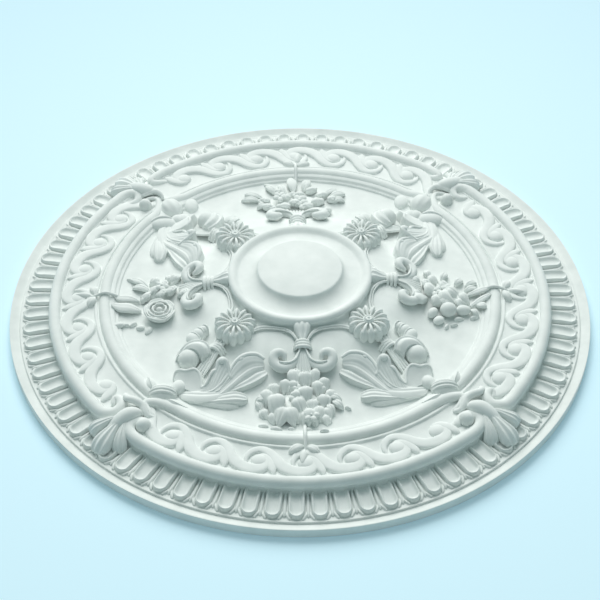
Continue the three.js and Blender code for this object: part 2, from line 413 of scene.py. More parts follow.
def draw_body(drawn):
    """The turned ground with its disc, cove, ring, field, frame steps and frieze floor"""
    turned(drawn, GROUND + BODY_UNDERSIDE, BODY_STEPS)


def draw_tongue(drawn):
    """One hollow tongue with a rolled lip round its outer end, its inner end under the bead"""
    straight = [(BORDER_INNER + (TONGUE_BEND - BORDER_INNER) * i / 4, 90) for i in range(4)]
    path = straight + [(TONGUE_BEND, 90 - 180 * i / 16) for i in range(17)]
    path += [(x, -90) for x, turn in straight[::-1]]
    patch = bmesh.new()
    bmesh.ops.create_grid(patch, x_segments=len(TONGUE) - 1, y_segments=len(path) - 1, size=1)
    for vert in patch.verts:
        reach, height = TONGUE[round((vert.co.x + 1) / 2 * (len(TONGUE) - 1))]
        x, turn = path[round((vert.co.y + 1) / 2 * (len(path) - 1))]
        turn = math.radians(turn)
        x += reach * math.cos(turn)
        sunk = 3.4 * ease(x, 440, 478) if height > TONGUE_UNDERSIDE else 0
        vert.co = (x, reach * math.sin(turn), height - sunk)
    bmesh.ops.remove_doubles(patch, verts=patch.verts[:], dist=0.01)
    bmesh.ops.holes_fill(patch, edges=[edge for edge in patch.edges if edge.is_boundary])
    pour(drawn, patch)


def draw_dart(drawn):
    """The slim ridge between two tongues, forked into a small fishtail"""
    rod(drawn, [(430, 0, 19, 2), (440, 0, 17.6, 2.4), (454, 0, 17, 2.6), (466, 0, 16.6, 2.8),
                (472, 0, 15, 2.2)], steps=2, roundness=2)
    for side in (-1, 1):
        rod(drawn, [(463, side * 1.5, 15.6, 1.6), (470, side * 4, 15.8, 2.6), (476, side * 8.4, 14, 2.8)],
            steps=2, roundness=1)


def draw_border(drawn):
    """The tongue border on its sunk floor, with the plain rim"""
    tongues = bpy.context.scene.rose_sizes.tongues
    turned(drawn, BORDER_FLOOR, 4 * tongues)
    tongue, dart = as_mesh(draw_tongue), as_mesh(draw_dart)
    for i in range(tongues):
        stamp(drawn, tongue, 360 * (i + 0.5) / tongues)
        stamp(drawn, dart, 360 * i / tongues)


def arc(radius, start, finish, height, width, step=3):
    """Points of (x, y, z, half width) along the ring, clear of both ends"""
    count = max(int(abs(finish - start) / step), 2)
    return [(*spot(radius, start + (finish - start) * i / count, height), width) for i in range(count + 1)]


def bead_end(places, side):
    """Places of (radius, angle, height, half width) at one end of a bead, on one side of the panel"""
    return [(*spot(r, side * a, z), w) for r, a, z, w in places]


def draw_beads(drawn):
    """The bold round beads that frame each panel, with the curls at their ends.
    Angles are counted from the middle of the panel, so that both ends share one list."""
    outer, inner, level = 421.5, 336, 35
    front = [(391, 38.2, 33, 8), (387, 40.6, 36, 8.5), (394, 42.6, 37, 9), (408, 43, 36, 10),
             (418, 41.6, level, 10.4)]
    side_near = [(396, 39.2, 37, 4.5), (388, 38.2, 38, 6.5), (384.5, 39.6, 39, 8), (391, 41.2, 39, 9),
                 (405, 41.6, 37, 9.8), (417, 40.4, 35.5, 10.4)]
    side_far = [(403, 39.1, 34, 5), (392, 39.9, 36, 6.5), (391.5, 42, 38, 7.5), (402, 43.2, 39, 8.5),
                (414, 42.6, 37.5, 9.6), (421, 40.8, 35.5, 10.4)]
    back = [(397, 36.6, 34, 4), (403, 38.8, 35, 5.5), (411, 40.3, 36, 7), (417.5, 40, 36.5, 8.5),
            (420.5, 37.8, 35.5, 10)]
    panels = [
        (0, front, front),
        (90, side_near, side_far),
        (180, back, back),
        (270, side_far, side_near),
    ]
    bodies = {0: 39, 90: 38.5, 180: 35.5, 270: 38.5}
    for panel, left, right in panels:
        run = arc(outer, -bodies[panel], bodies[panel], level, 10.4)
        path = bead_end(left, -1) + run + bead_end(right, 1)[::-1]
        line = as_mesh(rod, path, steps=3, roundness=4)
        stamp(drawn, line, panel)
    front_inner = [(368, 40.8, 37, 3.5), (366.5, 43.2, 40, 5), (360, 45.2, 41, 6.5), (351, 44, 41, 8),
                   (342, 41.6, 38, 9.8)]
    side_inner_near = [(340, 43.5, 34, 6), (337, 41.5, 36, 9.5)]
    side_inner_far = [(381, 41.6, 38, 2.6), (378, 43.8, 40, 3.4), (368, 45.2, 41, 4), (357, 44.8, 41, 4.6),
                      (346, 43, 39, 6.5), (338, 40.8, 36.5, 9)]
    back_inner = [(352, 42.6, 37, 6), (343, 41, 37, 9.5)]
    inner_panels = [
        (0, front_inner, front_inner),
        (90, side_inner_near, side_inner_far),
        (180, back_inner, back_inner),
        (270, side_inner_far, side_inner_near),
    ]
    for panel, left, right in inner_panels:
        path = bead_end(left, -1) + arc(inner, -37.5, 37.5, 35.5, 10.6) + bead_end(right, 1)[::-1]
        line = as_mesh(rod, path, steps=3, roundness=4)
        stamp(drawn, line, panel)


def bend_round(mesh):
    """Bends a flat frieze drawing round the ring, with its Y axis outwards"""
    for vert in mesh.vertices:
        turn = vert.co.x / FRIEZE_MIDDLE
        radius = FRIEZE_MIDDLE + vert.co.y
        vert.co = (radius * math.cos(turn), radius * math.sin(turn), vert.co.z)
    mesh.flip_normals()
    return mesh


def draw_wave(drawn):
    """One running scroll, drawn flat: a broad band that starts beside the scroll before it, passes
    under it, swells to a crest and rolls into a round head that ends in a pointed leaf"""
    level = FRIEZE_FLOOR
    band = [(-92, 9, 0.8), (-95.5, 0, 2.8), (-95, -9, 4.2), (-90, -18, 5.4), (-79, -24.5, 5.8),
            (-66, -22.5, 6.8), (-54, -13, 7.8), (-45, -1, 8.6), (-34, 9, 9), (-20, 15, 9), (-6, 16, 8.8),
            (5, 12, 8.2), (9.5, 4, 7.4), (9, -4, 6.5)]
    rod(drawn, [(x, y, level, w * 1.16) for x, y, w in band], steps=4, roundness=6, table=6.0)
    ball(drawn, (0.5, -2.5, level - 0.5), (30, 28, 15), sides=28, rows=12)
    tail = [(-7, -8, 3), (1, -11.5, 5), (10, -8.5, 6.8), (16.5, 0, 7.6), (20.5, 9, 7), (23.5, 17.5, 4.6),
            (25, 24.5, 0.3)]
    rod(drawn, [(x, y, level, w * 1.12) for x, y, w in tail], steps=4, roundness=5, table=6.2)


def draw_frieze(drawn):
    """Seven running scrolls in each panel, all rolling the same way round the rose"""
    sizes = bpy.context.scene.rose_sizes
    wave = bend_round(as_mesh(draw_wave))
    first = -(sizes.scrolls - 1) / 2 * sizes.scroll_pitch
    for panel in PANELS:
        for i in range(sizes.scrolls):
            stamp(drawn, wave, panel + first + i * sizes.scroll_pitch)


def draw_pendant(drawn):
    """A smooth round-headed husk that falls over the border in three ribbed lobes"""
    rod(drawn, [(381, 11, 42, 5), (387, 7, 45, 9.5), (397, 1, 45, 12.5), (410, -2, 42, 12.5),
                (424, -3, 37, 11), (438, -3, 29, 9)], steps=4, roundness=5)
    for spine, width in (
        ([(404, -5, 47), (420, -12, 47), (434, -20, 43), (446, -27, 37), (454, -31, 27)], 10.5),
        ([(404, 0, 48), (424, 0, 45), (444, 2, 39), (460, 3, 30), (473, 4, 17)], 17),
        ([(402, 5, 46), (418, 11, 44), (432, 19, 38), (442, 26, 29), (449, 31, 18)], 12.5),
    ):
        leaf(drawn, spine, width, arch=0.42, ribs=3, belly=0.78, blunt=0.4, rows=28, columns=24)


def draw_strap(drawn):
    """A small strap that crosses the corner between the beads"""
    rod(drawn, [(366, -40, 37, 3.5), (373, -34, 44, 5), (377, -22, 50, 6), (373, -10, 51, 6.5),
                (370, 2, 47, 6.5), (374, 13, 43, 6.5), (375, 22, 40, 5), (369, 29, 37, 3.5)], steps=4,
        roundness=4)


def draw_short_strap(drawn):
    """The shorter strap of the two far corners"""
    rod(drawn, [(361, 14, 38, 3), (369, 15, 43, 4.6), (378, 12, 46, 5.6), (384, 4, 46, 5.8), (388, -6, 44, 5),
                (392, -14, 40, 3)], steps=4, roundness=4)


def draw_front_husk(drawn):
    """A ribbed cushion on the inner frame, with a triangular leaf to each side"""
    ball(drawn, (326, 3, 38), (46, 36, 31), turn=131, sides=32, rows=16)
    for lane, rise in ((-12, 47), (-6, 51.6), (0, 53.6), (6, 52.6)):
        reach = 21 * math.sqrt(1 - (lane / 20) ** 2)
        path = []
        for share, sink, width in ((-1, 9, 1.6), (-0.6, 2.6, 2.6), (0, 0, 3), (0.6, 2.6, 2.6), (1, 9, 1.6)):
            path.append((326 + 0.75 * lane - 0.66 * reach * share, 3 + 0.66 * lane + 0.75 * reach * share,
                         rise - sink, width))
        rod(drawn, path, 3)
    leaf(drawn, [(334, 16, 38), (331, 30, 42), (324, 48, 38), (314, 62, 33)], 9, arch=0.6, vein=1.6,
         belly=0.4, rows=16, columns=12)
    leaf(drawn, [(332, -14, 42), (327, -24, 44), (322, -34, 42), (318, -42, 37)], 8.5, arch=0.6, vein=2,
         belly=0.3, rows=16, columns=12)


def draw_back_husk(drawn):
    """A ribbed bud on the inner frame, over a lens-shaped leaf, a pea and an oval leaf"""
    ball(drawn, (328, -4, 37), (46, 40, 36), turn=-12, ribs=9, sides=36, rows=14)
    ball(drawn, (308, 34, 35), (50, 32, 26), turn=49, sides=28, rows=14)
    rod(drawn, [(299, 17, 41, 1.5), (306, 22, 46, 2.4), (314, 29, 48, 2.8), (321, 39, 46, 2.4),
                (326, 50, 41, 1.5)], 3)
    ball(drawn, (291, 2, 35), (27, 27, 23), sides=20, rows=12)
    ball(drawn, (312, -38, 33), (38, 27, 20), turn=-35, sides=24, rows=12)


def draw_corners(drawn):
    """Pendants over the border, husks and straps, and the balls in the beads' curls"""
    pendant, strap = as_mesh(draw_pendant), as_mesh(draw_strap)
    front_husk, back_husk = as_mesh(draw_front_husk), as_mesh(draw_back_husk)
    front_ball = as_mesh(ball, (394.5, 31.5, 40), (25, 23.5, 27), sides=28, rows=18)
    back_ball = as_mesh(ball, (368, 23.5, 39), (25, 22, 29), sides=24, rows=14)
    short_strap = as_mesh(draw_short_strap)
    for angle, mirrored in FRONT_CORNERS:
        for ornament in (pendant, strap, front_husk, front_ball):
            stamp(drawn, ornament, angle, mirrored)
    for angle, mirrored in BACK_CORNERS:
        for ornament in (back_husk, back_ball):
            stamp(drawn, ornament, angle, mirrored)
        for ornament in (pendant, short_strap):
            stamp(drawn, ornament, angle, not mirrored)


def draw_daisy(drawn, petals):
    """A daisy with long petals that fold down over a ribbed cup, round a seeded eye"""
    turned(drawn, [(0, 50), (22, 50), (26, 56), (26, 64), (21, 70), (12, 73), (8, 77), (0, 79)], 28)
    for i in range(petals):
        turn = 2 * math.pi * (i + 0.5) / petals
        c, s = math.cos(turn), math.sin(turn)
        reach = 32 if i % 2 else 30.5
        line = [(7, 79.5, 1.3), (14, 82, 1.8), (20, 83.4, 2.4), (26, 83, 2.8), (reach, 80, 2.6)]
        rod(drawn, [(r * c, r * s, z, w) for r, z, w in line], steps=3, roundness=3)
        across = 2 * math.pi * 29 / petals + 2.4
        ball(drawn, ((reach - 5) * c, (reach - 5) * s, 67.5), (18, across, 31), turn=math.degrees(turn),
             sides=16, rows=12)
    ball(drawn, (0, 0, 81), (19, 19, 11), sides=20, rows=10)
    for i in range(11):
        turn = 2 * math.pi * i / 11
        ball(drawn, (5.6 * math.cos(turn), 5.6 * math.sin(turn), 85.2), (3.8, 3.8, 3.4), sides=8, rows=6)
    ball(drawn, (0, 0, 86.2), (5, 5, 4), sides=8, rows=6)


def draw_daisies(drawn):
    """A daisy on each diagonal, close to the ring"""
    sizes = bpy.context.scene.rose_sizes
    flower = as_mesh(draw_daisy, sizes.petals)
    for angle in DAISY_ANGLES:
        stamp(drawn, flower, angle, offset=(DAISY_RADIUS, 0, 0))


# The acanthus as it is drawn: the rim and the valley of its wavy leaf, the lines of its long lobe
# from the rim down to the foot, and the lines of its hood from the outside in
ACANTHUS_RIM = [(287, -12, 37), (280, -15, 44), (276, -9, 51), (272, 2, 54), (263, 10, 57), (261, 19, 55),
                (267, 31, 49), (275, 41, 45), (267, 44, 50), (253, 40, 58), (246, 39.5, 60),
                (240, 41, 61), (232, 36, 68), (225, 36.5, 71), (222, 43, 71), (225, 51, 65),
                (230, 58, 59), (233, 65, 55)]
ACANTHUS_FOLD = [(291, -9, 35), (291, -7, 37), (292, -2, 39), (293, 6, 40), (293, 14, 40), (293, 22, 40),
                 (291, 31, 40), (288, 39, 40), (286, 44, 41), (284, 48, 41.5), (282, 51, 42),
                 (280, 53, 42), (278, 55, 42.5), (276, 57, 43), (273, 60, 43.5), (270, 63, 44.5),
                 (266, 66, 46), (262, 68, 47)]
LOBE_RIM = [(284, 50, 42), (264, 61, 47), (238, 60.5, 55), (213, 54, 64), (194, 56, 69), (178, 67, 69),
            (172, 79, 63)]
LOBE_FACE = [(285, 53, 41), (266, 65, 45), (240, 66, 52), (216, 63, 60), (198, 66, 65), (184, 74, 65),
             (175, 84, 60)]
LOBE_FOLD = [(286, 56, 40), (268, 69, 44), (243, 71, 49), (218, 71, 54), (201, 74, 58), (189, 80, 59),
             (178, 87, 56)]
LOBE_BELLY = [(287, 59, 39.5), (269, 74, 44), (245, 77, 49), (221, 78, 53), (204, 81, 56), (192, 85, 56),
              (182, 89, 54)]
LOBE_FOOT = [(288, 62, 37), (270, 78, 39), (247, 82, 42), (223, 83, 46), (206, 86, 49), (194, 88, 50),
             (185, 91, 49)]
HOOD = [
    [(258, -40, 37), (246, -47, 41), (232, -45, 45), (217, -37, 49), (208, -20, 51), (208, -4, 51),
     (216, 9, 49)],
    [(254, -36, 49), (244, -39, 56), (232, -38, 61), (220, -30, 65), (213, -15, 67), (214, -3, 65),
     (221, 5, 59)],
    [(252, -33, 49.5), (243, -34.5, 56), (233, -33, 61), (223, -25.5, 64.5), (217.5, -14, 66),
     (218.5, -3, 63.5), (224, 4, 58)],
    [(252, -31, 54), (243, -31, 61.5), (236, -28, 66.5), (229.5, -21.5, 69.5), (225.5, -12, 70),
     (226.5, -3, 66.5), (231, 3, 60)],
    [(251, -29, 51), (245, -27, 59), (240.5, -23, 64), (237, -16.5, 65.5), (235.5, -9, 64), (236, -2, 59),
     (238, 3, 52)],
]


def draw_acanthus(drawn):
    """A tied sheaf of reeds, a spread leaf towards +Y and a hood over a ball towards -Y"""
    for lane in (-1.5, -0.5, 0.5, 1.5):
        rod(drawn, [(178, lane * 7.5 - 5, 60, 2.4), (192, lane * 5.5 - 1, 60, 2.7),
                    (204, lane * 4.4 + 3, 58, 2.7), (222, lane * 4.6 + 7, 50, 2.8),
                    (240, lane * 5 + 11, 44, 2.6), (254, lane * 5.4 + 13, 39, 2)], 4)
    for band in (-5, 0, 5):
        rod(drawn, [(208 + band, -11, 50, 2.4), (207 + band, -5, 58, 2.8), (205 + band, 3, 61.5, 3),
                    (203 + band, 11, 58, 2.8), (201 + band, 17, 50, 2.4)], 4)
    # The upper side of the leaf is one wavy sheet with a rolled rim, from under the ball to a curled tip
    rim, fold = (list(map(Vector, line)) for line in (ACANTHUS_RIM, ACANTHUS_FOLD))
    back, crest, face = [], [], []
    for top, low in zip(rim, fold):
        away = ((top - low) * Vector((1, 1, 0))).normalized()
        back.append(top + away * 9 - UP * (top.z - 3 - ground((top + away * 9).xy.length)))
        crest.append(top + away * 3 - UP * 1.2)
        face.append(top.lerp(low, 0.5) - UP)
    sheet(drawn, [back, crest, rim, face, fold], 108, 24, veins=19, depth=0.45)
    rod(drawn, [(x, y, z - 1.6, 2.7 if z < 60 else 3.6) for x, y, z in ACANTHUS_RIM], steps=5, roundness=4)
    ball(drawn, (226, 40, 69), (13, 13, 12))
    # The long lobe: a grooved sheet with a rolled rim and a rounded end
    lobe_back = [(x - 5, y - 6, ground(math.hypot(x, y)) + 4) for x, y, z in LOBE_RIM]
    lobe_crest = [(x - 1.6, y - 2.2, z - 1) for x, y, z in LOBE_RIM]
    sheet(drawn, [lobe_back, lobe_crest, LOBE_RIM, LOBE_FACE, LOBE_FOLD, LOBE_BELLY, LOBE_FOOT], 48, 40,
          grooves=9, depth=0.34)
    rod(drawn, [(x, y, z - 1.6, w) for (x, y, z), w in zip(LOBE_RIM, (2, 2.4, 2.8, 3.2, 3.8, 3.8, 3.2))],
        steps=5, roundness=4)
    ball(drawn, (199, 57, 64), (13, 9, 10), turn=-10)
    # The trunk with a sunk midrib, and the lobes at the leaf's foot
    leaf(drawn, [(303, 18, 33), (295, 38, 38), (279, 60, 41), (258, 76, 42), (238, 84, 41)], 13, arch=0.3,
         vein=-1.5, belly=0.42, blunt=0.5, rows=32, columns=20)
    leaf(drawn, [(301, 34, 34), (292, 61, 36), (278, 83, 37), (267, 99, 37), (257, 108, 34)], 5.5,
         arch=0.5, ribs=1, belly=0.6, blunt=0.5, rows=22, columns=10)
    leaf(drawn, [(294, 40, 36), (284, 64, 39), (267, 82, 43), (251, 96, 44), (239, 110, 40)], 12,
         arch=0.22, ribs=3, vein=-1, belly=0.72, blunt=0.42, rows=28, columns=24)
    leaf(drawn, [(272, 68, 41), (244, 79, 44), (218, 87, 47), (196, 92, 50), (180, 94, 47)], 9.5,
         arch=0.25, ribs=2, belly=0.72, blunt=0.42, rows=28, columns=18)
    # The hood over the ball, with a groove between its two ridges
    sheet(drawn, HOOD, 40, 28)
    ball(drawn, (247, -18, 46), (36, 35, 36), sides=28, rows=18)
    # A bell flower beside the hood, as three cups one in another
    for x, wide, rise in ((213, 29, 64), (201, 25, 67), (190, 19, 67)):
        ball(drawn, (x, -41, rise - 12), (wide * 0.85, wide, 22), sides=20)
        rod(drawn, [(x - 1, -41 - wide * 0.46, rise - 12, 1), (x - 4, -41 - wide * 0.3, rise - 4, 1.4),
                    (x - 5.5, -41, rise - 1.4, 1.6), (x - 4, -41 + wide * 0.3, rise - 4, 1.4),
                    (x - 1, -41 + wide * 0.46, rise - 12, 1)], 4)
    ball(drawn, (296, 9, 35), (29, 26, 24), turn=30, sides=24, rows=14)


def draw_acanthuses(drawn):
    """The acanthus on each diagonal, its leaf turned to the front or the back"""
    sprig = as_mesh(draw_acanthus)
    for angle, mirrored in FRONT_CORNERS + BACK_CORNERS:
        stamp(drawn, sprig, angle, mirrored)


def draw_bow(drawn):
    """A bow tied under the ring: a splayed nub, three bands, cords to the daisies, a pleated fan
    of stems, and a thick volute to each side"""
    leaf(drawn, [(120, 0, 86), (128, 0, 84), (138, 0, 79), (150, 0, 75)], 14, arch=0.25, ribs=3,
         belly=0.22, blunt=0.5, rows=14, columns=14)
    for x, width in ((150.5, 11.5), (157, 12.5), (163.5, 13.5)):
        rod(drawn, [(x - 1, -width, 66, 2.6), (x, -width * 0.65, 72.5, 3.3), (x + 0.6, 0, 75, 3.6),
                    (x, width * 0.65, 72.5, 3.3), (x - 1, width, 66, 2.6)], 5)
    for lane in (-2, -1, 0, 1, 2):
        rod(drawn, [(164, lane * 2.4, 67, 2.2), (178, lane * 3.3, 63, 2.8), (192, lane * 4.5, 57, 3.2),
                    (206, lane * 5.6, 50.5, 2.6)], 4)
    for side in (-1, 1):
        for lane, width in ((0, 2.2), (4.4, 1.2)):
            rod(drawn, [(149, side * 8, 71, width), (142, side * (11.5 + lane * 0.4), 74, width),
                        (134, side * (16 + lane * 0.6), 74.6, width),
                        (127 + lane * 0.5, side * (22.5 + lane * 0.7), 74.6, width),
                        (121.5 + lane * 0.8, side * (31 + lane * 0.4), 74, width),
                        (118.5 + lane * 0.9, side * 42, 73.4, width),
                        (116 + lane, side * 55, 73, width), (115.5 + lane, side * 68, 72.2, width),
                        (120 + lane, side * 80, 71.4, width)], 4)
        rod(drawn, [(168, side * 6, 66, 2.6), (174, side * 8, 64, 3.6), (184, side * 12, 60, 5.4),
                    (193, side * 21, 56.5, 7.4), (197, side * 33, 56.5, 8.2), (192, side * 44, 59, 8.4),
                    (182, side * 48.5, 63.5, 8.4), (174.5, side * 45.5, 67.5, 8.2),
                    (172.5, side * 37.5, 69, 7.2), (176, side * 31.5, 67, 5.6),
                    (181.5, side * 30, 63, 4)], steps=5, roundness=5)
        rod(drawn, [(164, side * 4, 71, 1.2), (175, side * 7.5, 69, 1.6), (184, side * 11.5, 67, 1.7),
                    (190.5, side * 20, 65.5, 1.9), (192.5, side * 30, 66, 1.9), (191, side * 38, 67, 1.5)], 5)


def draw_bows(drawn):
    """A bow between each two daisies"""
    bow = as_mesh(draw_bow)
    for panel in PANELS:
        stamp(drawn, bow, panel)


def draw_petal(drawn, foot, tip, width, low, high, crease, blunt=0.6):
    """A cupped petal that rises from a low foot to its tip, heights taken over the ground, with a
    raised or sunk crease down its middle"""
    (x0, y0), (x1, y1) = foot, tip
    spine = []
    for share, rise in ((0.05, 0.2), (0.35, 0.62), (0.65, 0.94), (0.9, 1.04), (1.06, 0.8)):
        x, y = x0 + (x1 - x0) * share, y0 + (y1 - y0) * share
        spine.append(on_ground(x, y, low + (high - low) * rise))
    leaf(drawn, spine, width * 1.2, arch=0.4, vein=crease, belly=0.62, blunt=blunt, rows=12, columns=10,
         drop=8)
    # The rolled edge that catches the light round the petal's tip
    way = Vector((x1 - x0, y1 - y0, 0)).normalized()
    side = way.cross(UP) * width
    top = Vector(on_ground(x1, y1, high))
    edge = [top - way * 6 - side * 0.92 - UP * 3.4, top - way * 0.5 - side * 0.6 - UP * 0.8, top + way * 1.4,
            top - way * 0.5 + side * 0.6 - UP * 0.8, top - way * 6 + side * 0.92 - UP * 3.4]
    rod(drawn, [(*place, w) for place, w in zip(edge, (1, 1.7, 1.9, 1.7, 1))], steps=2, roundness=2)


def draw_small_flower(drawn, x, y, size):
    """A five-petalled flower that looks up out of the bunch"""
    level = ground(math.hypot(x, y)) + 13
    for i in range(5):
        turn = 2 * math.pi * i / 5 + x
        ball(drawn, (x + 0.62 * size * math.cos(turn), y + 0.62 * size * math.sin(turn), level),
             (size * 1.05, size * 0.74, 8), turn=math.degrees(turn), taper=-0.25, sides=14, rows=8)
    ball(drawn, (x, y, level + 2.5), (size * 0.45, size * 0.45, 6), sides=10, rows=6)


def draw_sprig(drawn, x, y, length, turn, width=7.0, lift=4.0):
    """A single leaf with a sunk midrib, its tip bent down"""
    way = math.radians(turn)
    spine = []
    for share, rise in ((0, 2), (0.35, 7), (0.7, 6), (1, 0)):
        px, py = x + math.cos(way) * length * share, y + math.sin(way) * length * share
        spine.append((px, py, ground(math.hypot(px, py)) + lift + rise))
    leaf(drawn, spine, width, arch=0.3, vein=-1.2, belly=0.5, blunt=0.8, rows=12, columns=8, drop=5)


def draw_stem(drawn):
    """The stem that crosses the inner frame, with two bean-shaped leaves and a bud over the frieze"""
    rod(drawn, [(300, 0, 33, 3), (318, -1, 42, 3), (334, -1, 49, 2.8), (348, -1, 44, 2.6),
                (358, -1, 39, 2.4)], 4)
    leaf(drawn, [(352, 0, 41), (356, 8, 43), (361, 15, 42), (366, 22, 38)], 7, arch=0.5, vein=-1, rows=12,
         columns=8)
    leaf(drawn, [(352, -2, 41), (354, -12, 43), (358, -20, 42), (362, -28, 38)], 7, arch=0.5, vein=-1,
         rows=12, columns=8)
    ball(drawn, (374, -5, 40), (28, 14, 12), turn=-6, taper=0.35, ribs=4)
    rod(drawn, [(356, -2, 39, 2), (364, -3, 40, 2)], 3)


# For each panel's bouquet: its mound as (x, y, length, width, height), small flowers and roses
# as (x, y, size), petals as (foot, tip, half width, low, high), leaves as (x, y, length, turn,
# half width), buds as (x, y, length, width, turn) and balls as (x, y, length, width, height, turn)
BOUQUETS = {
    0: {
        "mound": (262, -8, 70, 88, 26),
        "flowers": [(257, -11, 13), (238, -9, 9), (292, 10, 12)],
        "petals": [
            ((262, -13), (246, -13), 8, 6, 17), ((284, 14), (262, 14), 7, 5, 15),
            ((236, -10), (206, -19), 8, 5, 16), ((230, 14), (204, 20), 7, 4, 14),
            ((236, 2), (211, 1), 7, 7, 18), ((236, 36), (217, 31), 8.5, 2, 11),
            ((242, -34), (222, -29), 7.5, 4, 15), ((246, -48), (227, -47), 7, 3, 13),
            ((240, -20), (225, -17), 6, 6, 16), ((264, -60), (238, -61), 8.5, 2, 12),
            ((272, -68), (256, -75), 5, 1, 7), ((288, -60), (273, -66), 5.5, 1, 7),
            ((248, 20), (226, 22), 8, 5, 15), ((264, 6), (240, 2), 9, 6, 20),
            ((274, 30), (252, 30), 8, 3, 14), ((258, 50), (240, 40), 7.5, 2, 11),
            ((284, -2), (262, -14), 8.5, 4, 18), ((289, -44), (255, -42), 10, 3, 21),
            ((300, -50), (283, -53), 6, 1, 8), ((306, -45), (280, -31), 9, 2, 17),
            ((306, -15), (281, -28), 9, 2, 17), ((308, 4), (281, 8), 8, 2, 15),
            ((298, 26), (275, 20), 7, 2, 13), ((292, 42), (274, 36), 6.5, 1, 9),
            ((304, 36), (288, 32), 5.5, 1, 7), ((306, 17), (292, 15), 5, 1, 8),
        ],
        "leaves": [(256, 44, 24, 52, 6), (246, 36, 26, 75, 6), (262, 36, 24, 28, 6),
                   (250, -62, 18, -85, 5)],
        "buds": [(302, -67, 17, 9, 90), (312, -46, 20, 10, 80), (322, 30, 15, 8, 90), (312, 4, 13, 9, 90),
                 (310, -22, 12, 8, 90), (268, 70, 12, 7, 60)],
    },
    90: {
        "mound": (246, -16, 76, 46, 22),
        "flowers": [(232, -12, 12), (254, -6, 11)],
        "petals": [
            ((220, -22), (196, -42), 10, 3, 16), ((214, -30), (196, -28), 7, 5, 15),
            ((240, -18), (216, -6), 9, 4, 16), ((266, -36), (240, -22), 10, 5, 18),
            ((276, -18), (254, -8), 8, 4, 16), ((292, -32), (276, -16), 7, 2, 12),
            ((246, -40), (226, -34), 9, 5, 17), ((262, 2), (244, 14), 7, 2, 10),
            ((240, 14), (226, 26), 7, 2, 10), ((282, -38), (268, -34), 7, 3, 13),
            ((232, 0), (214, 10), 7, 3, 12),
        ],
        "leaves": [(290, -40, 46, 32, 5), (284, -14, 52, 18, 5), (284, -2, 26, 20, 6),
                   (246, 24, 24, 60, 6), (226, 28, 20, 110, 6), (268, 14, 22, 40, 6),
                   (208, 6, 20, 140, 6), (300, -34, 22, -35, 6), (290, -48, 20, -50, 5),
                   (286, 10, 26, 30, 5)],
        "buds": [(296, -63, 18, 9, 20), (268, -68, 18, 8, 10), (246, -86, 13, 8, 60),
                 (259, -82, 14, 7, 20)],
        "balls": [(251, -55, 29, 26, 26, 0), (277, -52, 26, 18, 18, 0), (224, -61, 22, 16, 18, 55),
                  (233, -76, 20, 16, 14, 30)],
    },
    180: {
        "mound": (242, -4, 52, 84, 20),
        "flowers": [(238, -6, 14), (252, 30, 12)],
        "petals": [
            ((240, 22), (214, 22), 9, 4, 15), ((246, 4), (226, 4), 8, 6, 17),
            ((238, -18), (214, -20), 9, 4, 15), ((256, -34), (234, -38), 9, 3, 13),
            ((260, 54), (242, 58), 8, 3, 12), ((240, 50), (220, 53), 8, 3, 13),
            ((276, -46), (258, -50), 7.5, 2, 11), ((290, 34), (274, 32), 7, 1, 9),
            ((272, -6), (254, -6), 8, 4, 15), ((288, -24), (272, -28), 8, 2, 12),
            ((266, 18), (248, 20), 8, 4, 14), ((264, -62), (246, -66), 7, 2, 11),
            ((222, -52), (204, -56), 7, 2, 11), ((216, 20), (198, 20), 6, 3, 10),
            ((216, -30), (198, -30), 6, 3, 10),
        ],
        "leaves": [(256, 60, 40, 62, 6), (250, 66, 36, 80, 5), (262, -50, 34, -52, 6),
                   (268, 20, 34, 20, 6), (276, 4, 42, 8, 9), (280, -14, 34, -18, 8), (270, 36, 34, 35, 7),
                   (258, -60, 34, -68, 7), (236, 54, 20, 110, 6), (248, -66, 24, -85, 5),
                   (208, 34, 20, 120, 6), (206, -42, 20, -110, 6)],
        "buds": [(300, 52, 16, 9, 60), (276, -74, 18, 9, -70)],
        "balls": [(244, -10, 16, 16, 20, 0), (262, 6, 14, 14, 17, 0)],
    },
    270: {
        "mound": (238, -10, 60, 36, 20),
        "roses": [(240, 46, 25)],
        "flowers": [(238, -14, 11)],
        "petals": [
            ((262, -18), (246, -8), 7.5, 3, 12), ((236, -6), (218, 2), 8, 4, 15),
            ((230, -32), (214, -38), 6.5, 2, 10), ((262, -30), (246, -34), 6.5, 2, 11),
            ((246, -22), (230, -18), 7.5, 4, 14), ((212, 6), (198, 14), 7, 3, 13),
            ((276, 0), (260, 6), 7.5, 3, 12), ((250, 0), (234, 6), 8, 4, 15),
        ],
        "leaves": [(272, 36, 54, -14, 10), (262, -22, 42, -38, 6), (258, -12, 36, -24, 6),
                   (276, 12, 44, -12, 7), (216, -26, 18, -120, 5), (226, -30, 18, -75, 5)],
        "buds": [(309, 69, 20, 10, 10), (297, 66, 12, 8, 0), (285, 65, 16, 9, 40), (272, 74, 15, 12, 0),
                 (258, 81, 18, 14, 60), (294, -46, 18, 8, -30)],
    },
}


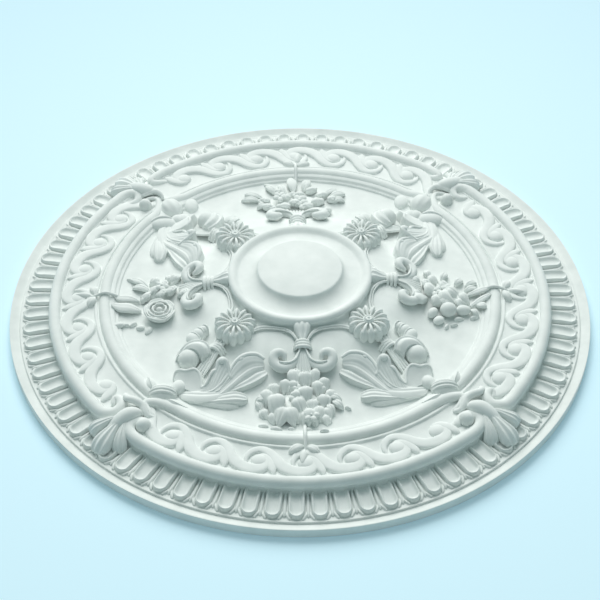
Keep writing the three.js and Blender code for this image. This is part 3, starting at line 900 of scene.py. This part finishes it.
def draw_open_rose(drawn, x, y, size):
    """A full rose: rings of broad cupped petals closing round a heart"""
    base = ground(math.hypot(x, y)) + 2
    cup = as_mesh(turned, [(0, base), (size * 0.8, base), (size, base + 8), (size * 0.92, base + 15),
                           (size * 0.8, base + 14), (size * 0.55, base + 6), (0, base + 5)], 24)
    cup.transform(Matrix.Translation((x, y, 0)))
    drawn.from_mesh(cup)
    rings = ((1.0, 13, 5, 0.7), (0.72, 15, 5, 0.55), (0.45, 16, 4, 0.42))
    for ring, (reach, rise, count, wide) in enumerate(rings):
        for i in range(count):
            angle = 2 * math.pi * (i + 0.5 * ring) / count
            c, s = math.cos(angle), math.sin(angle)
            across = Vector((-s, c, 0)) * size * wide
            middle = Vector((x + c * size * reach, y + s * size * reach, base + rise))
            inward = Vector((-c, -s, 0)) * size * 0.25
            rod(drawn, [(*(middle - across + inward - UP * 3), 1.0),
                        (*(middle - across * 0.5 + inward * 0.2), 1.9), (*middle, 2.2),
                        (*(middle + across * 0.5 + inward * 0.2), 1.9),
                        (*(middle + across + inward - UP * 3), 1.0)], 3)
    ball(drawn, (x, y, base + 11), (size * 0.5, size * 0.42, 14), sides=12, rows=8)


def draw_bouquet(drawn, panel):
    """Petals, leaves and buds under one bow"""
    bunch = BOUQUETS[panel]
    x, y, length, width, tall = bunch["mound"]
    ball(drawn, on_ground(x, y, -2), (length, width, tall), sides=32, rows=12)
    for x, y, size in bunch["flowers"]:
        draw_small_flower(drawn, x, y, size)
    for i, (foot, tip, width, low, high) in enumerate(bunch["petals"]):
        draw_petal(drawn, foot, tip, width, low, high, (0.5, -1.4, -0.8)[i % 3], (0.7, 0.5, 0.6)[i % 3])
        # A smaller petal tucked in beside it, a little lower
        way = Vector((tip[0] - foot[0], tip[1] - foot[1])).normalized()
        side = Vector((-way.y, way.x)) * width * (1 if i % 2 else -1)
        foot = Vector(foot) + side * 0.9 + way * 2
        tip = Vector(tip) + side * 0.8 + way * (1 if i % 3 else -5)
        draw_petal(drawn, foot, tip, width * 0.72, low, high - 2.5, -1)
    for x, y, length, turn, width in bunch["leaves"]:
        draw_sprig(drawn, x, y, length, turn, width)
    for x, y, length, width, turn in bunch["buds"]:
        ball(drawn, on_ground(x, y, 1.5), (length, width, 12), turn=turn, taper=0.3)
    for x, y, length, width, tall, turn in bunch.get("balls", ()):
        ball(drawn, on_ground(x, y, tall * 0.45), (length, width, tall), turn=turn, sides=24, rows=14)
    for x, y, size in bunch.get("roses", ()):
        draw_open_rose(drawn, x, y, size)
    draw_stem(drawn)


def draw_bouquets(drawn):
    """The four bouquets, each with its own flowers"""
    for panel in PANELS:
        stamp(drawn, as_mesh(draw_bouquet, panel), panel)


def add_piece(name, draw):
    """Draws one piece of the rose and finishes it"""
    drawn = bmesh.new()
    draw(drawn)
    if not drawn.faces:
        raise RuntimeError(f"{name} came out empty")
    return finish_piece(drawn, name)


class RoseSizes(bpy.types.PropertyGroup):
    """Sizes of the ceiling rose"""
    radius: bpy.props.FloatProperty(
        name="Radius", description="From the centre to the rim", default=round(CAD_BOX[1][0], 4), min=0.1,
        unit="LENGTH")
    height: bpy.props.FloatProperty(
        name="Height", description="From the back to the top of the centre disc",
        default=round(CAD_BOX[1][2], 4),
        min=0.02, unit="LENGTH")
    tongues: bpy.props.IntProperty(
        name="Tongues", description="Tongues round the border", default=80, min=8)
    scrolls: bpy.props.IntProperty(
        name="Scrolls", description="Running scrolls in each panel of the frieze", default=7, min=1)
    scroll_pitch: bpy.props.FloatProperty(
        name="Scroll Pitch", description="Angle from one scroll to the next, in degrees", default=11.0,
        min=1.0)
    petals: bpy.props.IntProperty(
        name="Daisy Petals", description="Petals of each daisy", default=14, min=5)


class RoseColours(bpy.types.PropertyGroup):
    """Colours of the ceiling rose and its stage"""
    plaster: bpy.props.FloatVectorProperty(
        name="Plaster", description="Sealed plaster", subtype="COLOR", size=3, min=0, max=1,
        default=linear("#f1f5f3")[:3])
    floor: bpy.props.FloatVectorProperty(
        name="Floor", description="Pale floor", subtype="COLOR", size=3, min=0, max=1,
        default=linear("#d2effb")[:3])


class ROSE_OT_body(bpy.types.Operator):
    """Build the turned ground with its disc, ring, field and frieze floor"""
    bl_idname = "rose.body"
    bl_label = "Turned Body"

    def execute(self, context):
        add_piece("rose_body", draw_body)
        return {"FINISHED"}


class ROSE_OT_border(bpy.types.Operator):
    """Build the border of tongues and darts with the rim"""
    bl_idname = "rose.border"
    bl_label = "Tongue Border"

    def execute(self, context):
        add_piece("tongue_border", draw_border)
        return {"FINISHED"}


class ROSE_OT_beads(bpy.types.Operator):
    """Build the beads that frame the four panels"""
    bl_idname = "rose.beads"
    bl_label = "Frame Beads"

    def execute(self, context):
        add_piece("frame_beads", draw_beads)
        return {"FINISHED"}


class ROSE_OT_frieze(bpy.types.Operator):
    """Build the running scrolls of the frieze"""
    bl_idname = "rose.frieze"
    bl_label = "Frieze Scrolls"

    def execute(self, context):
        add_piece("frieze_scrolls", draw_frieze)
        return {"FINISHED"}


class ROSE_OT_corners(bpy.types.Operator):
    """Build the pendants and husks at the corners"""
    bl_idname = "rose.corners"
    bl_label = "Corner Pendants"

    def execute(self, context):
        add_piece("corner_pendants", draw_corners)
        return {"FINISHED"}


class ROSE_OT_daisies(bpy.types.Operator):
    """Build the daisies on the diagonals"""
    bl_idname = "rose.daisies"
    bl_label = "Daisies"

    def execute(self, context):
        add_piece("daisies", draw_daisies)
        return {"FINISHED"}


class ROSE_OT_acanthus(bpy.types.Operator):
    """Build the acanthus sprigs on the diagonals"""
    bl_idname = "rose.acanthus"
    bl_label = "Acanthus Sprigs"

    def execute(self, context):
        add_piece("acanthus_sprigs", draw_acanthuses)
        return {"FINISHED"}


class ROSE_OT_bows(bpy.types.Operator):
    """Build the bows under the ring"""
    bl_idname = "rose.bows"
    bl_label = "Bows"

    def execute(self, context):
        add_piece("bows", draw_bows)
        return {"FINISHED"}


class ROSE_OT_bouquets(bpy.types.Operator):
    """Build the four bouquets, each with its own flowers"""
    bl_idname = "rose.bouquets"
    bl_label = "Bouquets"

    def execute(self, context):
        add_piece("bouquets", draw_bouquets)
        return {"FINISHED"}


# The stage: floor, room light, window, lamp and camera, in metres, with the lens in millimetres
FLOOR_REACH = 9
FLOOR_GAP = 0.0008
FLOOR_GLOW = 0.17
ROOM_COLOUR = "#d2eeee"
ROOM_STRENGTH = 0.32
WINDOW_PLACE = (-0.4, 3.0, 2.6)
WINDOW_SOFTNESS = math.radians(46)
WINDOW_STRENGTH = 2.2
WINDOW_COLOUR = "#fffefa"
LAMP_PLACE = (0, 0.35, 1.4)
LAMP_SIZE = 0.8
LAMP_POWER = 5.5
CAMERA_DISTANCE = 2.7575
CAMERA_RISE = math.radians(43.62)
CAMERA_TURN = math.radians(1.58)
CAMERA_LENS = 94.87
CAMERA_SENSOR = 36
CAMERA_SHIFT = 0.0165


class ROSE_OT_stage(bpy.types.Operator):
    """Build the pale floor, the soft lights and the camera"""
    bl_idname = "rose.stage"
    bl_label = "Stage"

    def execute(self, context):
        scene = context.scene
        floor_shape = bmesh.new()
        bmesh.ops.create_grid(floor_shape, x_segments=1, y_segments=1, size=FLOOR_REACH)
        bmesh.ops.translate(floor_shape, verts=floor_shape.verts[:], vec=(0, 0, -FLOOR_GAP))
        mesh = bpy.data.meshes.new("floor")
        floor_shape.to_mesh(mesh)
        floor_shape.free()
        material = bpy.data.materials.new("pale_floor")
        material.use_nodes = True
        shader = material.node_tree.nodes["Principled BSDF"]
        shader.inputs["Base Color"].default_value = list(scene.rose_colours.floor) + [1]
        shader.inputs["Roughness"].default_value = 0.9
        shader.inputs["Emission Color"].default_value = list(scene.rose_colours.floor) + [1]
        shader.inputs["Emission Strength"].default_value = FLOOR_GLOW
        mesh.materials.append(material)
        floor = bpy.data.objects.new("floor", mesh)
        scene.collection.objects.link(floor)

        world = bpy.data.worlds.new("soft_room")
        world.use_nodes = True
        sky = world.node_tree.nodes["Background"]
        sky.inputs["Color"].default_value = linear(ROOM_COLOUR)
        sky.inputs["Strength"].default_value = ROOM_STRENGTH
        scene.world = world
        scene.view_settings.view_transform = "Standard"
        add_window(scene)
        add_lamp(scene)
        add_camera(scene)
        return {"FINISHED"}


def aim(holder, place):
    """Sets a lamp or camera in its place, pointing at the middle of the rose"""
    holder.location = place
    holder.rotation_euler = (-Vector(place)).to_track_quat("-Z", "Y").to_euler()


def add_window(scene):
    """A far, soft light that slants in over the far side of the rose"""
    light = bpy.data.lights.new("window", "SUN")
    light.angle = WINDOW_SOFTNESS
    light.energy = WINDOW_STRENGTH
    light.color = linear(WINDOW_COLOUR)[:3]
    holder = bpy.data.objects.new("window", light)
    aim(holder, WINDOW_PLACE)
    scene.collection.objects.link(holder)


def add_lamp(scene):
    """A broad lamp above the far half, where the photograph is paler and its shade softer"""
    lamp = bpy.data.lights.new("lamp", "AREA")
    lamp.size = LAMP_SIZE
    lamp.energy = LAMP_POWER
    holder = bpy.data.objects.new("lamp", lamp)
    holder.location = LAMP_PLACE
    scene.collection.objects.link(holder)


def add_camera(scene):
    """The camera of the photograph: above the front panel, a little to the left"""
    lens = bpy.data.cameras.new("camera")
    lens.lens = CAMERA_LENS
    lens.sensor_width = CAMERA_SENSOR
    lens.shift_y = CAMERA_SHIFT
    camera = bpy.data.objects.new("camera", lens)
    level = math.cos(CAMERA_RISE)
    way = Vector((-math.sin(CAMERA_TURN) * level, -math.cos(CAMERA_TURN) * level, math.sin(CAMERA_RISE)))
    aim(camera, way * CAMERA_DISTANCE)
    scene.collection.objects.link(camera)
    scene.camera = camera


OPERATORS = (ROSE_OT_stage, ROSE_OT_body, ROSE_OT_border, ROSE_OT_beads, ROSE_OT_frieze, ROSE_OT_corners,
             ROSE_OT_daisies, ROSE_OT_acanthus, ROSE_OT_bows, ROSE_OT_bouquets)


class ROSE_PT_panel(bpy.types.Panel):
    """Sizes, colours and pieces of the ceiling rose"""
    bl_idname = "ROSE_PT_panel"
    bl_label = "Ceiling Rose"
    bl_space_type = "VIEW_3D"
    bl_region_type = "UI"
    bl_category = "Ceiling Rose"

    def draw(self, context):
        column = self.layout.column()
        for name in RoseSizes.__annotations__:
            column.prop(context.scene.rose_sizes, name)
        for name in RoseColours.__annotations__:
            column.prop(context.scene.rose_colours, name)
        for operator in OPERATORS:
            column.operator(operator.bl_idname)


CLASSES = (RoseSizes, RoseColours, *OPERATORS, ROSE_PT_panel)


def register():
    for each in CLASSES:
        bpy.utils.register_class(each)
    bpy.types.Scene.rose_sizes = bpy.props.PointerProperty(type=RoseSizes)
    bpy.types.Scene.rose_colours = bpy.props.PointerProperty(type=RoseColours)


def unregister():
    del bpy.types.Scene.rose_colours
    del bpy.types.Scene.rose_sizes
    for each in reversed(CLASSES):
        bpy.utils.unregister_class(each)


def main():
    register()
    bpy.ops.rose.stage()
    bpy.ops.rose.body()
    bpy.ops.rose.border()
    bpy.ops.rose.beads()
    bpy.ops.rose.frieze()
    bpy.ops.rose.corners()
    bpy.ops.rose.daisies()
    bpy.ops.rose.acanthus()
    bpy.ops.rose.bows()
    bpy.ops.rose.bouquets()


if __name__ == "__main__":
    main()
